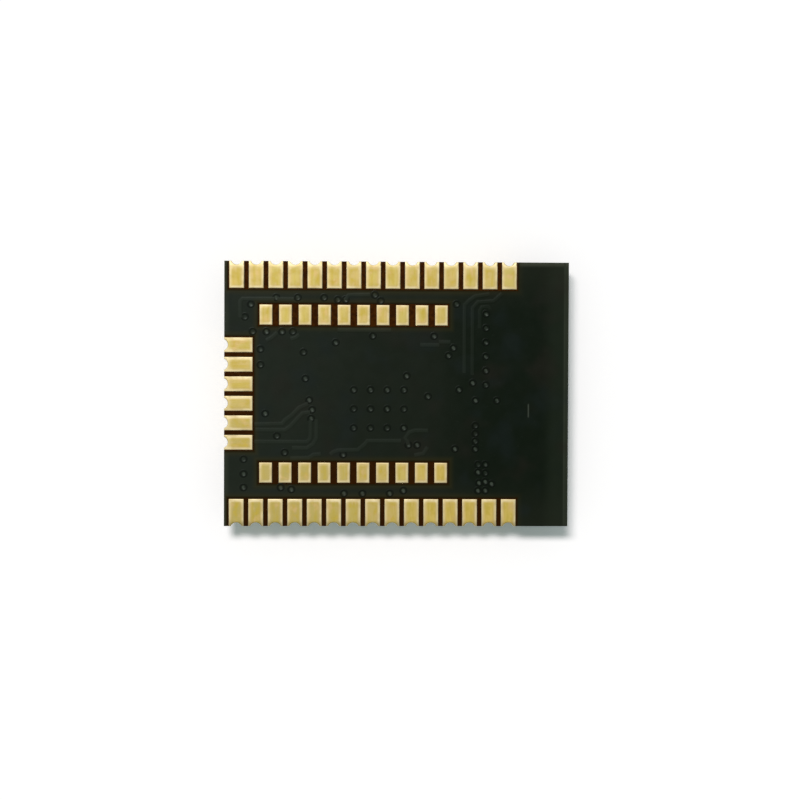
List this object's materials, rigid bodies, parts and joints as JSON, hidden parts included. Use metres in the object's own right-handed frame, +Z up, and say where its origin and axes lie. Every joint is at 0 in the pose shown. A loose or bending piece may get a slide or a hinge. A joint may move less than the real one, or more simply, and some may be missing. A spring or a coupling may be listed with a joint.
{
  "type": "bluetooth module",
  "caption": "Flat surface-mount radio module: black board with plated half-hole edge lands, inner lands, a folded shield can and a bare antenna end.",
  "frame": {"origin": "on the outer face of the can's lid, on which it lies, under the middle of the board", "axes": "+Z up out of the land side, +X along the board to its bare antenna end, +Y across the board to the back row of edge lands"},
  "size_m": [0.0176, 0.0136, 0.0021],
  "materials": {
    "laminate": "glass-fibre laminate, matte cut edge",
    "mask": "black solder mask, satin",
    "gold": "thin gold over nickel, satin",
    "copper": "bare copper",
    "can_sheet": "nickel-silver sheet, satin",
    "solder": "reflowed solder, bright",
    "tinned": "tin plate, satin",
    "mould": "black moulding compound",
    "crystal_base": "fired ceramic",
    "crystal_lid": "plated sheet lid",
    "chip_ceramic": "tan chip ceramic",
    "ferrite": "dark ferrite"
  },
  "bodies": {
    "root": {"board_laminate": "laminate", "land_side_mask": "mask", "part_side_mask": "mask", "edge_lands_back": "gold", "edge_lands_front": "gold", "edge_lands_end": "gold", "inner_lands_back": "gold", "inner_lands_front": "gold", "thermal_vias": "copper", "fence_vias": "copper", "signal_vias": "copper", "antenna_trace": "copper", "can_ring": "gold", "shield_can": "can_sheet", "can_solder": "solder", "processor_lands": "gold", "processor_contacts": "tinned", "processor_body": "mould", "crystal_lands": "gold", "main_crystal_base": "crystal_base", "main_crystal_lid": "crystal_lid", "clock_crystal_base": "crystal_base", "clock_crystal_lid": "crystal_lid", "chip_lands": "gold", "capacitor_bodies": "chip_ceramic", "capacitor_ends": "tinned", "coil_bodies": "ferrite", "coil_ends": "tinned"}
  },
  "joints": []
}
